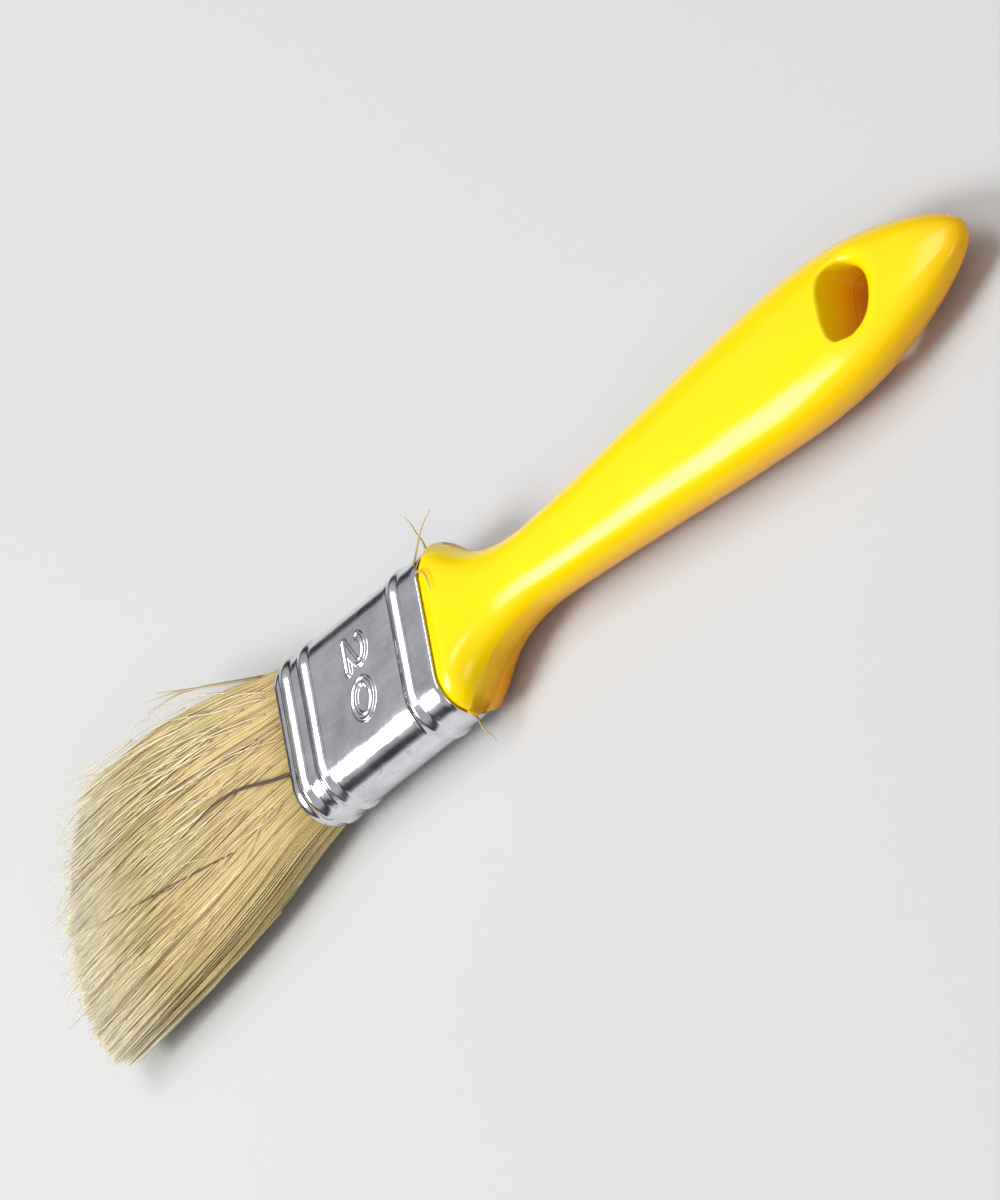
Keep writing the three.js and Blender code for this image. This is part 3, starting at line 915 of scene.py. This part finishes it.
class BristleSettings(PropertyGroup):
    """Sizes, numbers and colours of the bristles."""

    length: length_setting("Length", "Bristle showing at the middle of the tips", 43.0)
    crown: length_setting("Crown", "How far the tips' corners stay behind their middle", 4.8)
    tip_rounding: length_setting("Tip rounding", "How much shorter the outer bristles are", 2.4)
    raggedness: length_setting("Raggedness", "Mean shortening of a single bristle", 1.5)
    shortest: length_setting("Shortest", "Least reach of a bristle", 12.0)
    bow: length_setting("Bow", "How far a bristle bows sideways", 0.16)
    lean: length_setting("Lean", "How far the fan's tips lean towards -Y", 2.1)
    spread: length_setting("Spread", "How far a tip strays sideways", 0.62)
    rise: length_setting("Rise", "How far a tip strays up or down", 0.22)
    lock_lift: length_setting("Lock lift", "How far a lock's tip stands up or down", 0.175)
    thickness: length_setting("Thickness", "Bristle diameter at its root", 0.17)
    stray_thickness: length_setting("Stray thickness", "Diameter of a loose bristle", 0.2)
    tuft_thickness: length_setting("Tuft thickness", "Diameter of a bristle in the tuft", 0.3)
    root_colour: colour_setting("Root colour", "Of the bristles at the ferrule", (0.60, 0.46, 0.18))
    middle_colour: colour_setting("Middle colour", "Half way along", (0.72, 0.60, 0.29))
    tip_colour: colour_setting("Tip colour", "Of the split tips", (0.93, 0.88, 0.70))
    lock_shade: number_setting("Lock shade", "How much the locks' tones differ", 0.2)
    lock_pull: number_setting("Lock pull", "How strongly tips gather into locks", 0.5)
    locks: count_setting("Locks", "Locks across the fan", 46)
    hairs: count_setting("Hairs", "Bristles in each of the four pieces", 4900)
    hair_steps: count_setting("Hair steps", "Points along a bristle", 7)
    strays: count_setting("Strays", "Loose bristles over the fan", 105)
    strays_on_top: number_setting("Strays on top", "Share of the loose bristles on the upper face", 0.72)
    curls: count_setting("Curls", "Bent ends round the fan's edge", 360)
    stray_steps: count_setting("Stray steps", "Points along a stray", 14)
    seed: count_setting("Seed", "Seed of the random numbers", 7)


class StageSettings(PropertyGroup):
    """Where the camera stands."""

    azimuth: angle_setting("Azimuth", "Camera's turn from -Y towards +X", 52.7)
    elevation: angle_setting("Elevation", "Camera's height over the horizon", 36.4)
    roll: angle_setting("Roll", "Camera's turn about its own axis", -76.5)
    distance: FloatProperty(
        name="Distance", description="From the camera to the brush", default=1.42, unit="LENGTH"
    )
    aside: length_setting("Aside", "Camera's place to the right of the brush", -1.3)
    above: length_setting("Above", "Camera's place above the brush, in its picture", -1.3)
    lens: FloatProperty(
        name="Lens", description="Focal length for a 36 mm film", default=410.0, subtype="DISTANCE_CAMERA"
    )


# ---- operators ----------------------------------------------------------------------------
class BuildOperator:
    """What the operators share."""

    bl_options = {"REGISTER", "UNDO"}


class BRUSH_OT_handle(BuildOperator, Operator):
    """Builds the handle with its hanging hole"""

    bl_idname = "brush.handle"
    bl_label = "Build handle"

    def execute(self, context):
        settings = context.scene.brush_handle
        points, faces = handle_surface(settings)
        piece = add_object("handle_skin", points, faces)
        settle_piece(piece, yellow_plastic(settings), "yellow_plastic", "handle")
        return {"FINISHED"}


class BRUSH_OT_ferrule(BuildOperator, Operator):
    """Builds the ferrule with its beads and its embossed size number"""

    bl_idname = "brush.ferrule"
    bl_label = "Build ferrule"

    def execute(self, context):
        settings = context.scene.brush_ferrule
        points, faces = ferrule_surface(settings)
        piece = add_object("ferrule_skin", points, faces)
        settle_piece(piece, tin_plate(settings), "tin_plate", "ferrule")
        return {"FINISHED"}


class BRUSH_OT_bristles(BuildOperator, Operator):
    """Builds the packed bristles, two pieces above the spacer and two below, and their core"""

    bl_idname = "brush.bristles"
    bl_label = "Build bristles"

    def execute(self, context):
        settings = context.scene.brush_bristles
        rng = np.random.default_rng(settings.seed)
        material = hog_bristle(
            "hog_bristle", settings.root_colour, settings.middle_colour, settings.tip_colour
        )
        packs = {
            "hairs_upper_front": (1, 0.75, "bristle_pack_upper"),
            "hairs_upper_back": (1, 1.0, None),
            "hairs_lower_front": (-1, 0.75, "bristle_pack_lower"),
            "hairs_lower_back": (-1, 1.0, None),
        }
        for name, (side, shell, node) in packs.items():
            spots = section_spots(settings.hairs, side, shell, rng)
            paths, tones = hair_paths(spots, settings, rng)
            thickness = settings.thickness * rng.uniform(0.75, 1.15, len(spots))
            add_hairs(name, paths, thickness, tones, material, (node,) if node else ())
        core = add_object("bristle_core", *core_surface())
        # The core's dark brown is painted shade in the gaps between the surface strands.
        settle_piece(core, shaded_core_hair(), "hog_bristle")
        return {"FINISHED"}


class BRUSH_OT_strays(BuildOperator, Operator):
    """Builds the single bristles: a dark one, two dark lines of painted shadow, the loose and crossing ones
    and the bent ends
    """

    bl_idname = "brush.strays"
    bl_label = "Build stray bristles"

    def execute(self, context):
        settings = context.scene.brush_bristles
        rng = np.random.default_rng(settings.seed + 1)
        pale = hog_bristle("pale_bristle", *PALE_BRISTLE)
        tan = hog_bristle("tan_bristle", *TAN_BRISTLE)
        brown = hog_bristle("dark_bristle_and_shadow", *BROWN_BRISTLE_AND_SHADOW)
        dark = placed_paths(DARK_BRISTLE_AND_SHADOW_LINES, settings)
        placed = placed_paths(TUFT_BRISTLES + HEEL_BRISTLES, settings)
        fine = np.concatenate([loose_paths(settings, rng), curl_paths(settings, rng)])
        thickness = settings.stray_thickness * rng.uniform(0.6, 1.2, len(fine))
        tones = rng.uniform(0.5, 1, len(fine))
        add_hairs("stray_hairs", fine, thickness, tones, pale)
        thick = np.full(len(placed), settings.tuft_thickness)
        add_hairs("named_strays", placed, thick, np.full(len(placed), TAN_TONE), tan)
        # One dark bristle, and two lines of painted shadow for the groove between locks.
        add_hairs("dark_hair_and_shadow_lines", dark, DARK_THICKNESS, DARK_TONES, brown)
        return {"FINISHED"}


class BRUSH_OT_hidden(BuildOperator, Operator):
    """Gives the hidden wooden spacer and the resin their materials"""

    bl_idname = "brush.hidden"
    bl_label = "Finish hidden parts"

    def execute(self, context):
        for node, material in (("spacer_strip", pale_wood()), ("resin_block", setting_resin())):
            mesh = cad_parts[node].data
            mesh.materials.clear()
            mesh.materials.append(material)
        return {"FINISHED"}


# ---- stage --------------------------------------------------------------------------------
# The sky's grey by the sine of its height: pale at the horizon, then a dark belt, then pale.
SKY_STOPS = ((0.04, 0.40), (0.1, 0.05), (0.34, 0.06), (0.48, 0.46), (1.0, 0.5))
SKY_BLUE = 1.04
FLOOR_HALF = 3.0
FLOOR_DROP = 0.05 * MM
# Soft panels: name, direction, distance, width, length and power.
LIGHTS = (
    ("key", (-0.64, -0.27, 0.72), 0.9, 0.34, 0.34, 5.4),
    ("top", (0.0, 0.2, 1.0), 1.2, 0.38, 0.95, 6.2),
    ("front", (0.6, -0.75, 0.55), 1.3, 0.4, 0.4, 2.0),
)


def add_light(name, direction, distance, width, length, power):
    """A soft panel light that faces the brush from a direction, its length upwards."""
    light = bpy.data.lights.new(name, "AREA")
    light.shape = "RECTANGLE"
    light.size = width
    light.size_y = length
    light.energy = power
    lamp = bpy.data.objects.new(name, light)
    heading = Vector(direction).normalized()
    lamp.location = heading * distance
    lamp.rotation_euler = heading.to_track_quat("Z", "Y").to_euler()
    bpy.context.scene.collection.objects.link(lamp)


def add_camera(settings):
    """The camera, aimed at the brush from an azimuth and elevation and rolled about its axis."""
    azimuth, elevation = settings.azimuth, settings.elevation
    back = Vector((
        math.sin(azimuth) * math.cos(elevation),
        -math.cos(azimuth) * math.cos(elevation),
        math.sin(elevation),
    ))
    level = Vector((0, 0, 1)).cross(back).normalized()
    upright = back.cross(level)
    right = level * math.cos(settings.roll) + upright * math.sin(settings.roll)
    up = upright * math.cos(settings.roll) - level * math.sin(settings.roll)
    place = back * settings.distance + right * settings.aside + up * settings.above
    place.z += AXIS_Z
    data = bpy.data.cameras.new("camera")
    data.lens = settings.lens
    data.sensor_width = 36
    data.clip_start, data.clip_end = 0.01, 20
    camera = bpy.data.objects.new("camera", data)
    camera.matrix_world = Matrix.Translation(place) @ Matrix((right, up, back)).transposed().to_4x4()
    bpy.context.scene.collection.objects.link(camera)
    bpy.context.scene.camera = camera


def add_world():
    """A plain grey studio with a dark belt over its pale horizon, for bright metal to show."""
    world = bpy.data.worlds.new("studio")
    world.use_nodes = True
    tree = world.node_tree
    place = tree.nodes.new("ShaderNodeTexCoord").outputs["Generated"]
    height = tree.nodes.new("ShaderNodeSeparateXYZ")
    tree.links.new(place, height.inputs["Vector"])
    ramp = tree.nodes.new("ShaderNodeValToRGB")
    tree.links.new(height.outputs["Z"], ramp.inputs["Fac"])
    set_stops(ramp.color_ramp, [(stop, (grey, grey, grey * SKY_BLUE)) for stop, grey in SKY_STOPS])
    tree.links.new(ramp.outputs["Color"], tree.nodes["Background"].inputs["Color"])
    bpy.context.scene.world = world


class BRUSH_OT_stage(BuildOperator, Operator):
    """Builds the plain pale floor, the soft lights and the camera"""

    bl_idname = "brush.stage"
    bl_label = "Build stage"

    def execute(self, context):
        corners = np.array([(-1, -1, 0), (1, -1, 0), (1, 1, 0), (-1, 1, 0)]) * FLOOR_HALF
        floor = add_object("floor", corners - (0, 0, FLOOR_DROP), np.array([[0, 1, 2, 3]]))
        look = Shader("pale_floor")
        look.set(Base_Color=(0.58, 0.58, 0.575, 1.0), Roughness=0.8)
        floor.data.materials.append(look.material)
        add_world()
        for light in LIGHTS:
            add_light(*light)
        bpy.context.scene.view_settings.view_transform = "Standard"
        add_camera(context.scene.brush_stage)
        return {"FINISHED"}


class BRUSH_PT_panel(Panel):
    """Settings and build buttons for the brush"""

    bl_label = "Flat paint brush"
    bl_space_type = "VIEW_3D"
    bl_region_type = "UI"
    bl_category = "Brush"

    def draw(self, context):
        for group, operators in PANEL_SECTIONS:
            box = self.layout.box()
            for operator in operators:
                box.operator(operator)
            if group is not None:
                settings = getattr(context.scene, group)
                for name in settings.__annotations__:
                    box.prop(settings, name)


PANEL_SECTIONS = (
    ("brush_handle", ("brush.handle",)),
    ("brush_ferrule", ("brush.ferrule",)),
    ("brush_bristles", ("brush.bristles", "brush.strays")),
    (None, ("brush.hidden",)),
    ("brush_stage", ("brush.stage",)),
)
SETTINGS = {
    "brush_handle": HandleSettings,
    "brush_ferrule": FerruleSettings,
    "brush_bristles": BristleSettings,
    "brush_stage": StageSettings,
}
CLASSES = (
    *SETTINGS.values(),
    BRUSH_OT_handle,
    BRUSH_OT_ferrule,
    BRUSH_OT_bristles,
    BRUSH_OT_strays,
    BRUSH_OT_hidden,
    BRUSH_OT_stage,
    BRUSH_PT_panel,
)


def register():
    for cls in CLASSES:
        bpy.utils.register_class(cls)
    for name, group in SETTINGS.items():
        setattr(bpy.types.Scene, name, PointerProperty(type=group))


def unregister():
    for name in SETTINGS:
        delattr(bpy.types.Scene, name)
    for cls in reversed(CLASSES):
        bpy.utils.unregister_class(cls)


def main():
    """Builds every piece in order."""
    register()
    bpy.ops.brush.handle()
    bpy.ops.brush.ferrule()
    bpy.ops.brush.bristles()
    bpy.ops.brush.strays()
    bpy.ops.brush.hidden()
    bpy.ops.brush.stage()


if __name__ == "__main__":
    main()
